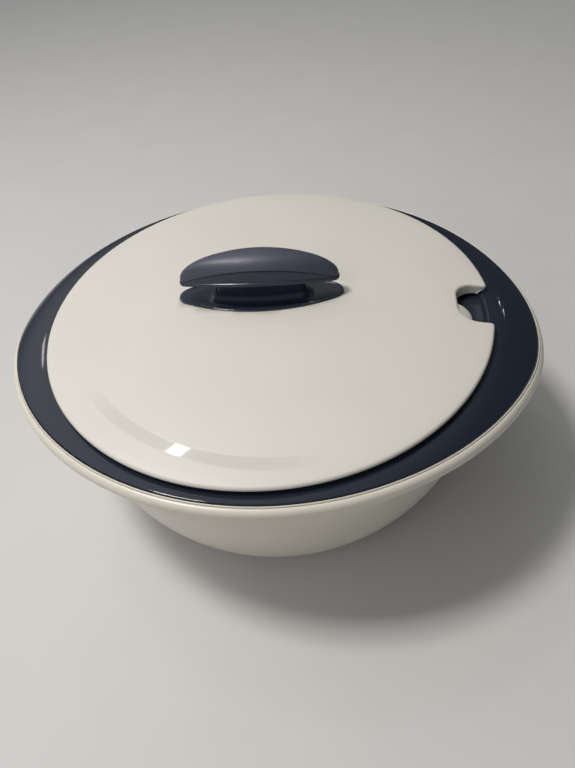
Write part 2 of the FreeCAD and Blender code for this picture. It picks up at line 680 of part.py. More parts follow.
NODES = {
    "outer_shell": outer_shell,
    "liner": liner,
    "bowl_insulation": bowl_insulation,
    "foot_ring": foot_ring,
    "fill_plug": fill_plug,
    "lid_top": lid_top,
    "lid_inner": lid_inner,
    "lid_insulation": lid_insulation,
    "pivot_cap": pivot_cap,
    "cover": cover,
    "handle_base": handle_base,
    "handle_grip": handle_grip,
    "grip_crown": grip_crown,
    "clamp_plate": clamp_plate,
    "handle_screws": handle_screws,
    "pivot_washer": pivot_washer,
    "pivot_screw": pivot_screw,
}

for name, make in NODES.items():
    solid = make()
    solid.exportStep("parts/" + name + ".step")
    box = solid.optimalBoundingBox()
    print(name, solid.isValid(), len(solid.Solids), round(solid.Volume),
          [round(v, 2) for v in (box.XMin, box.XMax, box.YMin, box.YMax, box.ZMin, box.ZMax)])
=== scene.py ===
# %% [markdown]
# # A casserole with a turning cover
#
# The object is an insulated serving bowl for flat breads. It has four visible mouldings: a pale
# double walled bowl, a navy lid whose edge droops at both ends, a round satin cover that turns on
# the lid, and an arched handle in a glossy dish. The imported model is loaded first, as a fixed
# frame. Everything made here is in metres and sits where that frame says.

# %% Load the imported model
import json
import math

import bmesh
import bpy
from mathutils import Matrix, Vector
from mathutils.geometry import delaunay_2d_cdt


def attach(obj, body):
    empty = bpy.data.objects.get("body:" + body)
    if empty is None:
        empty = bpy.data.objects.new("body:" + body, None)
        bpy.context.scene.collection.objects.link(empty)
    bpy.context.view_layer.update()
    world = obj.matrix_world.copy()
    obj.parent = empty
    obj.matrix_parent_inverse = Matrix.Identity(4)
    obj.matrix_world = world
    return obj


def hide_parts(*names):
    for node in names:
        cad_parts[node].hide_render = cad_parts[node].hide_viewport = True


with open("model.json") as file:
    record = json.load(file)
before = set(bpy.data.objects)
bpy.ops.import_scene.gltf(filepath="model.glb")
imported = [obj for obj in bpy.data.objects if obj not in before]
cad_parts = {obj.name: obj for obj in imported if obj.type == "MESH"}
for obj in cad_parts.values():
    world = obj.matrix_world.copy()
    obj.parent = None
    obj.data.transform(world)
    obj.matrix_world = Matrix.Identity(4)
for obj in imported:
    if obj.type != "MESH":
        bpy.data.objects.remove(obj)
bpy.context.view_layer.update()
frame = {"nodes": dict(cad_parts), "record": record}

bpy.context.scene.view_settings.view_transform = "Standard"

# %% [markdown]
# ## Camera
#
# The round cover is seen as an ellipse, and its shape gives the camera's height, tilt and
# distance. The camera could be turned by three angles, but a matrix made from its own right, up
# and back directions is easier to check.

# %% Camera
CAMERA_PLACE = Vector((0.05988, -0.24018, 0.30807))
CAMERA_LOOK = Vector((-0.15003, 0.67153, -0.72563)).normalized()
CAMERA_ROLL = math.radians(6.338)
FOCAL_SHARE = 577 / 768

level = CAMERA_LOOK.cross(Vector((0, 0, 1))).normalized()
down = CAMERA_LOOK.cross(level)
across = math.cos(CAMERA_ROLL) * level + math.sin(CAMERA_ROLL) * down
upward = math.sin(CAMERA_ROLL) * level - math.cos(CAMERA_ROLL) * down
turned_to = Matrix((across, upward, -CAMERA_LOOK)).transposed().to_4x4()
camera_data = bpy.data.cameras.new("camera")
camera_data.sensor_width = 36
camera_data.lens = camera_data.sensor_width * FOCAL_SHARE
camera = bpy.data.objects.new("camera", camera_data)
camera.matrix_world = Matrix.Translation(CAMERA_PLACE) @ turned_to
bpy.context.scene.collection.objects.link(camera)
bpy.context.scene.camera = camera
print("lens", round(camera_data.lens, 2), "mm")

# %% [markdown]
# ## Sizes
#
# The same named sizes shape the bowl, the lid and the cover, in millimetres. The lid's outline is
# an oval of four arcs. Its edge is high at the sides and droops at the ends, because the surface is
# turned about the middle and only then cut by the oval.

# %% Sizes shared by the pieces
MM = 0.001
AROUND = 240
RIM = (141.0, 122.5, 89.0)
VALLEY_TOP = 105.0
CREST_TOP = 107.5
VALLEY_END = 113.0
CREST_START = 116.4
CREST_RADIUS = 120.5
WING_RADIUS = 38.0
COVER_RADIUS = 118.0
DOME_TOP = 119.7
DOME_SPHERE = 908.0


def oval_reach(half_length, half_width, tip, grow, angle):
    """Distance from the axis to an oval of four arcs, grown outwards."""
    x, y = abs(math.cos(angle)), abs(math.sin(angle))
    tip_centre = half_length - tip
    rise = half_width - tip
    offset = (tip_centre ** 2 - rise ** 2) / (2 * rise)
    side = half_width + offset + grow
    run = math.hypot(tip_centre, offset)
    join_x = tip_centre * (1 + (tip + grow) / run)
    join_y = offset * (tip + grow) / run
    if y * join_x < x * join_y:
        return tip_centre * x + math.sqrt((tip + grow) ** 2 - (tip_centre * y) ** 2)
    return math.sqrt(side ** 2 - (offset * x) ** 2) - offset * y


def rim_height(radius):
    """Height of the lid's surface: valley floor, short rise, level crest and falling wing."""
    if radius > CREST_RADIUS:
        fall = math.sqrt(WING_RADIUS ** 2 - (radius - CREST_RADIUS) ** 2)
        return CREST_TOP - WING_RADIUS + fall
    t = min(1.0, max(0.0, (radius - VALLEY_END) / (CREST_START - VALLEY_END)))
    return VALLEY_TOP + (CREST_TOP - VALLEY_TOP) * t * t * (3 - 2 * t)


def dome_height(radius):
    """Height of the cover's dome."""
    return DOME_TOP - DOME_SPHERE + math.sqrt(DOME_SPHERE ** 2 - radius ** 2)


print("edge height at the end and the side",
      round(rim_height(RIM[0]), 1), round(rim_height(RIM[1]), 1))

# %% [markdown]
# ## Rings and skins
#
# Bowl, liner and lid are all closed shells round one axis. Spinning a profile would make them
# round, but they are oval, so each is a stack of rings: one ring of points for each corner of the
# profile, joined to the next ring by faces. A ring of one point closes the end.

# %% Ring and skin helpers


BODY_OVAL_RATIO = 1.06
BODY_TIP_RATIO = 0.93
SHARP_ANGLE = math.radians(40)


def ring(reach, height):
    """Points round the axis; reach takes the angle and height takes the distance."""
    points = []
    for step in range(AROUND):
        angle = 2 * math.pi * step / AROUND
        radius = reach(angle)
        points.append(Vector((radius * math.cos(angle), radius * math.sin(angle),
                              height(radius))) * MM)
    return points


def round_ring(radius, height):
    return ring(lambda angle: radius, lambda distance: height)


def body_reach(radius, angle):
    """Distance to the body's own oval, whose short half width is the radius."""
    return oval_reach(BODY_OVAL_RATIO * radius, radius, BODY_TIP_RATIO * radius, 0, angle)


def body_ring(radius, height):
    return ring(lambda angle: body_reach(radius, angle), lambda distance: height)


def rim_ring(grow, drop):
    """Ring that follows the lid's outline, grown outwards and lowered."""
    return ring(lambda angle: oval_reach(*RIM, grow, angle),
                lambda distance: rim_height(distance) - drop)


def pole(height):
    return [Vector((0, 0, height)) * MM]


def mesh_object(name, build):
    """New object from a bmesh, smooth, with its sharpest edges kept sharp."""
    for face in build.faces:
        face.smooth = True
    for edge in build.edges:
        edge.smooth = edge.calc_face_angle(0) < SHARP_ANGLE
    mesh = bpy.data.meshes.new(name)
    build.to_mesh(mesh)
    build.free()
    piece = bpy.data.objects.new(name, mesh)
    bpy.context.scene.collection.objects.link(piece)
    return piece


def add_rows(build, rows):
    """Adds a closed skin through rings listed from the lower axis outwards and back in."""
    made = [[build.verts.new(point) for point in row] for row in rows]
    for low, high in zip(made, made[1:]):
        count = max(len(low), len(high))
        for step in range(count):
            after = (step + 1) % count
            corners = []
            for vert in (low[step % len(low)], low[after % len(low)],
                         high[after % len(high)], high[step % len(high)]):
                if vert not in corners:
                    corners.append(vert)
            build.faces.new(corners)
    return made


def skin(name, rows):
    build = bmesh.new()
    add_rows(build, rows)
    piece = mesh_object(name, build)
    print(name, len(piece.data.polygons), "faces")
    return piece


# %% [markdown]
# ## Node trees written as expressions
#
# Shader maths and geometry maths both use Math nodes. They could be placed and linked one by one,
# but that hides the formula. A small class wraps a socket, so that ordinary Python operators add
# the nodes and the code reads like the formula. The colour sockets of a Mix node share their names
# with others, so they are found by their places.

# %% Node helper


class Wire:
    """An output socket whose operators add Math nodes."""

    def __init__(self, tree, socket):
        self.tree = tree
        self.socket = socket

    def maths(self, operation, *others, clamp=False):
        node = self.tree.nodes.new("ShaderNodeMath")
        node.operation = operation
        node.use_clamp = clamp
        for place, value in zip(node.inputs, (self,) + others):
            if isinstance(value, Wire):
                self.tree.links.new(value.socket, place)
            else:
                place.default_value = value
        return Wire(self.tree, node.outputs[0])

    def __add__(self, other):
        return self.maths("ADD", other)

    def __sub__(self, other):
        return self.maths("SUBTRACT", other)

    def __rsub__(self, other):
        return (self * -1.0).maths("ADD", other)

    def __mul__(self, other):
        return self.maths("MULTIPLY", other)

    def __truediv__(self, other):
        return self.maths("DIVIDE", other)

    def __pow__(self, other):
        return self.maths("POWER", other)

    __radd__ = __add__
    __rmul__ = __mul__

    def root(self):
        return self.maths("SQRT")

    def size(self):
        return self.maths("ABSOLUTE")

    def over(self, limit):
        return self.maths("GREATER_THAN", limit)

    def fade(self, start, end):
        """0 at start, 1 at end, held outside."""
        return ((self - start) / (end - start)).maths("ADD", 0.0, clamp=True)


MIX_FIRST, MIX_SECOND, MIX_RESULT = 6, 7, 2


class Tree:
    """Adds any node to a tree: its type, its settings, then its inputs by name."""

    def __init__(self, tree):
        self.tree = tree

    def node(self, kind, settings=None, **inputs):
        node = self.tree.nodes.new(kind)
        for name, value in (settings or {}).items():
            setattr(node, name, value)
        for name, value in inputs.items():
            self.feed(node.inputs[name.replace("_", " ")], value)
        return node

    def feed(self, place, value):
        if isinstance(value, Wire):
            value = value.socket
        if isinstance(value, bpy.types.NodeSocket):
            self.tree.links.new(value, place)
        else:
            place.default_value = value

    def wire(self, node, output=0):
        return Wire(self.tree, node.outputs[output])

    def blend(self, share, first, second):
        """Colour between two others, from the first at 0 to the second at 1."""
        node = self.node("ShaderNodeMix", {"data_type": "RGBA"})
        self.feed(node.inputs["Factor"], share)
        self.feed(node.inputs[MIX_FIRST], first)
        self.feed(node.inputs[MIX_SECOND], second)
        return node.outputs[MIX_RESULT]


# %% [markdown]
# ## Finishes
#
# All visible parts are moulded plastic, so their finishes differ in colour, gloss and the fine
# grain of the mould. Each material starts from the same three details: a slow colour variation, a
# fine grain that feeds a Bump node, and small rubs that change the roughness. They read Object
# coordinates, so they stay on the piece when it moves.

# %% Plastic finish
CLOUD_SCALE = 18.0
SCUFF_SCALE = 160.0
GRAIN_DEPTH = 0.0002


def finish(name, colour, roughness, grain=0.0, grain_scale=900.0, drift=0.03, rubs=0.04,
           metallic=0.0, paint=None):
    """Procedural material for one finish; paint may change colour, roughness and grain."""
    material = bpy.data.materials.new(name)
    material.use_nodes = True
    tree = Tree(material.node_tree)
    material.node_tree.nodes.clear()
    place = tree.node("ShaderNodeTexCoord").outputs["Object"]
    cloud = tree.node("ShaderNodeTexNoise", {"noise_dimensions": "3D"}, Vector=place,
                      Scale=CLOUD_SCALE, Detail=3.0)
    speck = tree.node("ShaderNodeTexNoise", {"noise_dimensions": "3D"}, Vector=place,
                      Scale=grain_scale, Detail=2.0)
    scuff = tree.node("ShaderNodeTexNoise", {"noise_dimensions": "3D"}, Vector=place,
                      Scale=SCUFF_SCALE, Detail=5.0, Roughness=0.7)
    shade = tuple(c * (1 - drift) for c in colour)
    colour_out = tree.blend(tree.wire(cloud).fade(0.35, 0.65), (*colour, 1.0), (*shade, 1.0))
    rough_out = tree.wire(scuff).fade(0.45, 0.8) * rubs + roughness
    grain_out = tree.wire(speck)
    if paint:
        colour_out, rough_out, grain_out = paint(tree, place, colour_out, rough_out, grain_out)
    shader = tree.node("ShaderNodeBsdfPrincipled", None, Base_Color=colour_out,
                       Roughness=rough_out)
    shader.inputs["Metallic"].default_value = metallic
    if grain:
        bump = tree.node("ShaderNodeBump", None, Height=grain_out, Strength=grain,
                         Distance=GRAIN_DEPTH)
        tree.feed(shader.inputs["Normal"], bump.outputs[0])
    output = tree.node("ShaderNodeOutputMaterial")
    tree.feed(output.inputs["Surface"], shader.outputs[0])
    return material


# %% [markdown]
# The satin cover has one mark of its making: a narrow band of smoother plastic that runs along
# part of a circle on the near left of the dome. It is a ring around a centre of its own, cut to a
# range of angles, that lowers the roughness, hides the grain and fades at both ends. Its colour is
# also pulled towards grey, as a painted darker reflection of the room in the smoother band.

# %% Finishes of the mouldings
BAND_CENTRE = (0.00704, 0.00351)
BAND_RADIUS = 0.1093
BAND_HALF_WIDTH = 0.0035
# Grey of the painted reflection: the smoother band is painted darker, as if it mirrored the dim
# room.
BAND_PAINTED_REFLECTION_GREY = (0.5, 0.49, 0.46, 1.0)


def polished_band_with_painted_reflection(tree, place, colour, rough, grain):
    parts = tree.node("ShaderNodeSeparateXYZ", None, Vector=place)
    x = tree.wire(parts, 0) - BAND_CENTRE[0]
    y = tree.wire(parts, 1) - BAND_CENTRE[1]
    radius = (x * x + y * y).root()
    across = 1.0 - ((radius - BAND_RADIUS).size() / BAND_HALF_WIDTH).fade(0.7, 1.0)
    angle = y.maths("ARCTAN2", x)
    along = angle.fade(-2.45, -2.2) * (1.0 - angle.fade(-1.5, -1.22))
    share = across * along
    # Painted reflection: the colour is blended up to 30% towards grey where the band lies.
    painted_reflection_colour = tree.blend(share * 0.3, colour, BAND_PAINTED_REFLECTION_GREY)
    return painted_reflection_colour, rough - share * 0.44, grain * (1.0 - share)


WHITE = (0.66, 0.63, 0.55)
finishes = {
    "white_gloss": finish("white moulding", WHITE, 0.3, grain=0.03, drift=0.03),
    "white_satin": finish("satin white moulding", (0.64, 0.62, 0.56), 0.48, grain=0.32,
                          grain_scale=1500.0, paint=polished_band_with_painted_reflection),
    "navy_gloss": finish("navy moulding", (0.012, 0.017, 0.030), 0.05, grain=0.01, rubs=0.02),
    "navy_dish": finish("glossy navy dish", (0.020, 0.028, 0.044), 0.09, grain=0.02),
    "navy_smooth": finish("smooth navy grip", (0.026, 0.032, 0.058), 0.22, grain=0.04),
    "navy_satin": finish("satin navy crown", (0.056, 0.062, 0.090), 0.42, grain=0.55,
                         grain_scale=1400.0),
    "foam": finish("rigid foam", (0.6, 0.5, 0.24), 0.9, grain=0.8, grain_scale=500.0, drift=0.15),
    "rubber_ring": finish("rubber", (0.035, 0.035, 0.037), 0.75, grain=0.3),
    "steel": finish("plated steel", (0.55, 0.55, 0.56), 0.28, grain=0.05, metallic=1.0),
}
for part in frame["record"]["subparts"]:
    slots = frame["nodes"][part["node"]].data.materials
    if len(slots):
        slots[0] = finishes[part["material_slot"]]
    else:
        slots.append(finishes[part["material_slot"]])
print(len(finishes), "finishes")


def dress(piece, body, slot, *nodes):
    """Gives a piece the finish named by slot if it has none, lets it ride, and hides the parts it
    stands for.
    """
    if not piece.data.materials:
        piece.data.materials.append(finishes[slot])
    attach(piece, body)
    if nodes:
        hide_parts(*nodes)


# %% [markdown]
# ## Outer shell
#
# The shell is the body on the table: a foot, a side that swells like a quarter ellipse, a small
# step, a straight collar, and a flange that reaches out under the lid. The list of rings is its
# profile, first outside and upwards, then inside and back down.

# %% Outer shell
SHELL_WALL = 2.4
COLLAR = 115.0
STEP_HEIGHT = 73.0
SIDE_TOP = 111.1
FOOT = 79.5


def side_rings(inset, floor, count):
    """Rings of the quarter ellipse from the foot to the step."""
    rows = []
    for step in range(count + 1):
        angle = math.pi / 2 * step / count
        rows.append(body_ring(FOOT + (SIDE_TOP - FOOT - inset) * math.sin(angle),
                              STEP_HEIGHT - (STEP_HEIGHT - floor) * math.cos(angle)))
    return rows


def collar_ring(inset, drop):
    """Ring of the collar, cut off at a drop below the lid's surface."""
    return ring(lambda angle: body_reach(COLLAR - inset, angle),
                lambda distance: rim_height(distance) - drop)


shell_rows = [pole(3.0), body_ring(61.0, 3.0), body_ring(61.9, 2.6), body_ring(63.2, 1.0),
              body_ring(63.9, 0.6), body_ring(68.6, 0.6), body_ring(68.8, 0.9),
              body_ring(68.8, 2.6), body_ring(74.2, 2.6), body_ring(74.2, 0.9),
              body_ring(74.4, 0.6), body_ring(77.9, 0.6), body_ring(79.0, 0.95),
              body_ring(79.55, 1.7)]
shell_rows += side_rings(0.0, 0.6, 26)[2:]
shell_rows += [body_ring(111.4, 73.4), body_ring(112.0, 73.3), body_ring(113.9, 73.0),
               body_ring(114.6, 73.2), body_ring(114.95, 73.8), body_ring(115.0, 74.8),
               body_ring(115.0, 85.0), collar_ring(0.0, 9.5), collar_ring(-0.2, 7.6),
               collar_ring(-0.9, 6.9)]
shell_rows += [rim_ring(-1.5, 6.75), rim_ring(1.2, 6.7)]
shell_rows += [rim_ring(2.0, 6.6), rim_ring(2.0, 5.1), rim_ring(-0.5, 5.1)]
shell_rows += [collar_ring(1.6, 5.1), collar_ring(2.4, 7.0), body_ring(COLLAR - 2.4, 85.0)]
shell_rows += [body_ring(COLLAR - 2.4, 76.0), body_ring(SIDE_TOP - 2.4, 74.5)]
shell_rows += list(reversed(side_rings(SHELL_WALL, 5.4, 12)))[1:]
shell_rows += [pole(5.4)]
outer_shell = skin("shell_body", shell_rows)

# %% [markdown]
# ## Liner
#
# The liner is the inner bowl. It shows only when the lid is lifted, and as the bright inner lip
# beside the navy edge.

# %% Liner
CAVITY_FLOOR = 15.0
CAVITY_BEND = 42.0
FLOOR_RADIUS = 62.0


def cavity_rings(grow, count):
    """Round rings from the bottom corner of the cavity to the end of its bend."""
    side = 103.5 + grow
    rows = []
    for step in range(count + 1):
        angle = math.pi / 2 * step / count
        rows.append(round_ring(FLOOR_RADIUS + (side - FLOOR_RADIUS) * math.sin(angle),
                               CAVITY_FLOOR + CAVITY_BEND
                               - (CAVITY_BEND + grow) * math.cos(angle)))
    return rows


def brim_ring(radius, drop):
    return ring(lambda angle: radius, lambda distance: rim_height(distance) - drop)


liner_rows = [pole(13.0), round_ring(40.0, 13.0)] + cavity_rings(2.0, 12)
liner_rows += [brim_ring(108.6, 7.5), brim_ring(109.4, 5.3), brim_ring(111.0, 4.9)]
liner_rows += [rim_ring(-3.0, 4.9), rim_ring(0.6, 4.9), rim_ring(0.6, 3.5), rim_ring(-3.0, 3.5)]
liner_rows += [brim_ring(108.6, 3.5), brim_ring(107.4, 3.9), brim_ring(106.9, 5.0)]
liner_rows += list(reversed(cavity_rings(0.0, 24)))
liner_rows += [round_ring(40.0, 15.0), pole(15.0)]
liner = skin("liner_bowl", liner_rows)

# %% [markdown]
# ## Rim lips, with Geometry Nodes
#
# Two lips stand up round the navy lid: the liner's thin one, and outside it the full round one of
# the shell. Both are the same rule with other sizes: a rounded bar that follows the oval outline
# and falls with the wing. An inner limit cuts the shell's bar flat where it meets the liner's.
# A swept curve would need a path, and its section would tilt where the path falls. Here a grid is
# bent by the formula itself: one side of the grid goes round the oval, the other goes round the
# bar's section.

# %% Rim lip tree
SECTION_STEPS = 28
JOIN_DISTANCE = 0.000001


def rim_lip_tree():
    group = bpy.data.node_groups.new("rim lip", "GeometryNodeTree")
    group.interface.new_socket("Geometry", in_out="OUTPUT", socket_type="NodeSocketGeometry")
    for name in ("Half length", "Half width", "Tip radius", "Offset", "Drop", "Bar width",
                 "Bar height", "Roundness", "Inner limit"):
        group.interface.new_socket(name, in_out="INPUT", socket_type="NodeSocketFloat")
    group.interface.new_socket("Finish", in_out="INPUT", socket_type="NodeSocketMaterial")
    tree = Tree(group)
    entry = tree.node("NodeGroupInput")
    half_length, half_width, tip, offset, drop, width, height, roundness, limit = (
        tree.wire(entry, place) for place in range(9))
    grid = tree.node("GeometryNodeMeshGrid", None, Size_X=1.0, Size_Y=1.0,
                     Vertices_X=AROUND + 1, Vertices_Y=SECTION_STEPS + 1)
    spot = tree.node("ShaderNodeSeparateXYZ", None,
                     Vector=tree.node("GeometryNodeInputPosition").outputs[0])
    around = (tree.wire(spot, 0) + 0.5) * (2 * math.pi)
    turn = (tree.wire(spot, 1) + 0.5) * (2 * math.pi)
    # Section: an ellipse at roundness 1, and nearer to a rectangle below it.
    cosine, sine = turn.maths("COSINE"), turn.maths("SINE")
    sideways = cosine.maths("SIGN") * cosine.size() ** roundness
    upwards = sine.maths("SIGN") * sine.size() ** roundness
    grow = (offset + sideways * width * 0.5).maths("MAXIMUM", limit)
    # Distance to the oval, from its tip arc or its side arc.
    ux, uy = around.maths("COSINE").size(), around.maths("SINE").size()
    tip_centre = half_length - tip
    rise = half_width - tip
    centre = (tip_centre * tip_centre - rise * rise) / (rise * 2.0)
    run = (tip_centre * tip_centre + centre * centre).root()
    tip_reach = tip + grow
    side_reach = half_width + centre + grow
    join_x = tip_centre * (tip_reach / run + 1.0)
    join_y = centre * tip_reach / run
    at_side = (uy * join_x).over(ux * join_y)
    to_tip = tip_centre * ux + (tip_reach * tip_reach - (tip_centre * uy) ** 2.0).root()
    to_side = (side_reach * side_reach - (centre * ux) ** 2.0).root() - centre * uy
    radius = to_tip + (to_side - to_tip) * at_side
    # Height of the wing at that distance.
    beyond = radius - CREST_RADIUS
    wing = (WING_RADIUS ** 2 - beyond * beyond).root() + (CREST_TOP - WING_RADIUS)
    level = wing - drop + upwards * height * 0.5
    place = tree.node("ShaderNodeCombineXYZ", None, X=around.maths("COSINE") * radius * MM,
                      Y=around.maths("SINE") * radius * MM, Z=level * MM)
    bent = tree.node("GeometryNodeSetPosition", None, Geometry=grid.outputs["Mesh"],
                     Position=place.outputs[0])
    joined = tree.node("GeometryNodeMergeByDistance", None, Geometry=bent.outputs[0],
                       Distance=JOIN_DISTANCE)
    real = tree.node("GeometryNodeRealizeInstances", None, Geometry=joined.outputs[0])
    painted = tree.node("GeometryNodeSetMaterial", None, Geometry=real.outputs[0],
                        Material=entry.outputs["Finish"])
    leave = tree.node("NodeGroupOutput")
    tree.feed(leave.inputs[0], painted.outputs[0])
    return group


def grown(name, group, **sizes):
    """Runs a tree on an empty mesh and returns its result as a plain mesh object."""
    carrier = bpy.data.objects.new(name, bpy.data.meshes.new(name))
    bpy.context.scene.collection.objects.link(carrier)
    modifier = carrier.modifiers.new("grow", "NODES")
    modifier.node_group = group
    for item in group.interface.items_tree:
        key = item.name.replace(" ", "_").lower()
        if item.in_out == "INPUT" and key in sizes:
            modifier[item.identifier] = sizes[key]
    seen = carrier.evaluated_get(bpy.context.evaluated_depsgraph_get())
    mesh = bpy.data.meshes.new_from_object(seen)
    carrier.modifiers.remove(modifier)
    carrier.data = mesh
    mesh.shade_smooth()
    build = bmesh.new()
    build.from_mesh(mesh)
    bmesh.ops.recalc_face_normals(build, faces=build.faces)
    build.to_mesh(mesh)
    build.free()
    print(name, len(mesh.polygons), "faces")
    return carrier


# %% Rim lips
lip_tree = rim_lip_tree()
oval = {"half_length": RIM[0], "half_width": RIM[1], "tip_radius": RIM[2],
        "finish": finishes["white_gloss"]}
shell_lip = grown("shell_lip", lip_tree, offset=1.3, drop=3.9, bar_width=5.2, bar_height=6.4,
                  roundness=0.85, inner_limit=1.2, **oval)
liner_lip = grown("liner_lip", lip_tree, offset=0.68, drop=2.75, bar_width=0.94,
                  bar_height=5.3, roundness=0.7, inner_limit=0.0, **oval)
dress(outer_shell, "bowl", "white_gloss", "outer_shell")
dress(shell_lip, "bowl", "white_gloss")
dress(liner, "bowl", "white_gloss", "liner")
dress(liner_lip, "bowl", "white_gloss")

# %% [markdown]
# ## Navy lid
#
# The lid is the dark ring round the cover. It rises out of a valley under the cover's edge, turns
# over a soft crest and falls away to the rim. Reflections show every flaw in such a gloss, so its
# rings are close together where the surface bends. The slot for a spoon goes straight through, so
# it is cut with a Boolean, and the post and the two stops of the cover are joined on with others.

# %% Navy lid
NOTCH_ANGLE = math.radians(2.5)
COVER_TURN = math.radians(60.0)
LID_UNDER = 103.0
LID_ROUNDING = 0.5


def wing_ring(share, drop):
    """Ring between the crest and the rounded edge."""
    return ring(lambda angle: CREST_RADIUS
                + (oval_reach(*RIM, -LID_ROUNDING, angle) - CREST_RADIUS) * share,
                lambda distance: rim_height(distance) - drop)


lid_rows = [pole(LID_UNDER), round_ring(60.0, LID_UNDER), round_ring(104.0, LID_UNDER)]
lid_rows += [brim_ring(radius, 2.0) for radius in (114.6, 116.0, 117.2, 118.6)]
lid_rows += [rim_ring(-2.0, 2.0), rim_ring(-2.0, 3.2), rim_ring(-0.4, 3.2), rim_ring(-0.05, 2.9),
             rim_ring(0.0, 2.4), rim_ring(0.0, 0.5), rim_ring(-0.05, 0.29), rim_ring(-0.16, 0.13),
             rim_ring(-0.31, 0.03)]
lid_rows += [wing_ring(step / 12, 0.0) for step in range(12, 0, -1)]
lid_rows += [brim_ring(CREST_RADIUS - step * 0.3, 0.0) for step in range(24)]
lid_rows += [round_ring(radius, VALLEY_TOP) for radius in (108.0, 100.0, 80.0, 60.0, 30.0)]
lid_rows += [pole(VALLEY_TOP)]
lid_top = skin("lid_moulding", lid_rows)

# %% Slot, stops and post of the lid
SLOT_INNER = 88.0
SLOT_HALF_WIDTH = 12.0
SLOT_CORNER = 6.0
SLOT_OUTER = 103.8
CHUTE_WALL = 1.6
STOP_RADIUS = 70.0
STOP_PIN = 3.0
STOP_BLOCK = 4.0
STOP_GAP = 0.3
POST_RADIUS = 7.0
POST_BORE = 4.2
POST_TOP = 110.0


def slot_plan(outer, grow=0.0):
    """Outline of the spoon slot: round corners at its inner end, square ones outside."""
    points = []
    inner, half_width, corner = SLOT_INNER - grow, SLOT_HALF_WIDTH + grow, SLOT_CORNER + grow
    for step in range(9):
        angle = math.pi / 2 * step / 8
        points.append((inner + corner - corner * math.sin(angle),
                       half_width - corner + corner * math.cos(angle)))
    lower = [(x, -y) for x, y in reversed(points)]
    return points + lower + [(outer, -half_width), (outer, half_width)]


def upright(name, plan, low, high, angle=0.0):
    """Prism over a plan, in millimetres, turned about the axis."""
    build = bmesh.new()
    spin = Matrix.Rotation(angle, 4, "Z")
    rows = [[build.verts.new(spin @ Vector((x * MM, y * MM, z * MM))) for x, y in plan]
            for z in (low, high)]
    for row in rows:
        build.faces.new(row)
    count = len(plan)
    for step in range(count):
        after = (step + 1) % count
        build.faces.new((rows[0][step], rows[0][after], rows[1][after], rows[1][step]))
    bmesh.ops.recalc_face_normals(build, faces=build.faces)
    return mesh_object(name, build)


def boolean(piece, tool, operation):
    """Cuts or joins, keeps the result as a plain mesh, and removes the tool."""
    step = piece.modifiers.new("cut", "BOOLEAN")
    step.object = tool
    step.operation = operation
    step.solver = "EXACT"
    seen = piece.evaluated_get(bpy.context.evaluated_depsgraph_get())
    mesh = bpy.data.meshes.new_from_object(seen)
    piece.modifiers.remove(step)
    piece.data = mesh
    bpy.data.objects.remove(tool)


slot_angle = NOTCH_ANGLE + COVER_TURN
chute_plan = slot_plan(SLOT_OUTER + 0.1, grow=CHUTE_WALL)
boolean(lid_top, upright("chute", chute_plan, 90.0, 104.0, slot_angle), "UNION")
boolean(lid_top, upright("gap", slot_plan(SLOT_OUTER), 85.0, 110.0, slot_angle), "DIFFERENCE")


def circle_plan(radius, x=0.0, count=48):
    return [(x + radius * math.cos(2 * math.pi * k / count),
             radius * math.sin(2 * math.pi * k / count)) for k in range(count)]


stop_angle = NOTCH_ANGLE + math.pi
reach = (STOP_PIN + STOP_BLOCK + STOP_GAP) / STOP_RADIUS
for place in (stop_angle - reach, stop_angle + COVER_TURN + reach):
    block = upright("stop", circle_plan(STOP_BLOCK, STOP_RADIUS), 104.0, 108.0, place)
    boolean(lid_top, block, "UNION")
boolean(lid_top, upright("post", circle_plan(POST_RADIUS), 98.0, POST_TOP), "UNION")
boolean(lid_top, upright("bore", circle_plan(POST_BORE), 97.0, POST_TOP + 1.0), "DIFFERENCE")
dress(lid_top, "lid", "navy_gloss", "lid_top")
print("lid_moulding", len(lid_top.data.polygons), "faces after its cuts")

# %% [markdown]
# ## Cover
#
# The cover is a shallow dome with a bite out of its edge, and a window for the handle's dish. Its
# outline can't be a ring round the axis, so it is drawn in plan first: the circle, the two mouth
# corners and the round inner corners. Copies of that outline, moved inwards and down, make the
# rounded edge, the overhang and the skirt. The dome between them is filled by a triangulation that
# keeps the outline's own points, then lifted onto the sphere.

# %% Cover outline
NOTCH = (100.0, 14.8, 10.0)
MOUTH = 2.2
HANDLE_TURN = Matrix.Rotation(math.radians(6.0), 4, "Z")
HANDLE_OFFSET = -2.7
HANDLE_BASE = (44.0, 16.0, 7.0)
COVER_WALL = 2.4
NOTCH_WALL = 1.6
EDGE_ROUND = 1.4
HEM = 106.9
POINT_GAP = 5.0
RING_GAP = 4.0
EDGE_MARGIN = 3.0


def bend(start, corner, end, count=6):
    """Points of a soft corner."""
    points = []
    for step in range(count + 1):
        t = step / count
        points.append(tuple((1 - t) ** 2 * a + 2 * t * (1 - t) * b + t * t * c
                            for a, b, c in zip(start, corner, end)))
    return points


def cover_plan():
    inner, half, corner = NOTCH
    mouth_angle = math.asin(half / COVER_RADIUS)
    first = mouth_angle + MOUTH / COVER_RADIUS
    mouth = (COVER_RADIUS * math.cos(mouth_angle), half)
    arc = [first + (2 * math.pi - 2 * first) * k / 236 for k in range(237)]
    rim = [(COVER_RADIUS * math.cos(a), COVER_RADIUS * math.sin(a)) for a in arc]
    low = bend(rim[-1], (mouth[0], -half), (mouth[0] - MOUTH, -half))
    side = [(mouth[0] - MOUTH - (mouth[0] - MOUTH - inner - corner) * k / 5, -half)
            for k in range(1, 6)]
    turn = [(inner + corner - corner * math.sin(math.pi / 2 * k / 10),
             -half + corner - corner * math.cos(math.pi / 2 * k / 10)) for k in range(1, 11)]
    middle = [(inner, (corner - half) * (1 - k / 3)) for k in range(1, 4)]
    lower = low[1:] + side + turn + middle
    upper = [(x, -y) for x, y in reversed(lower)][1:]
    return rim + lower + upper


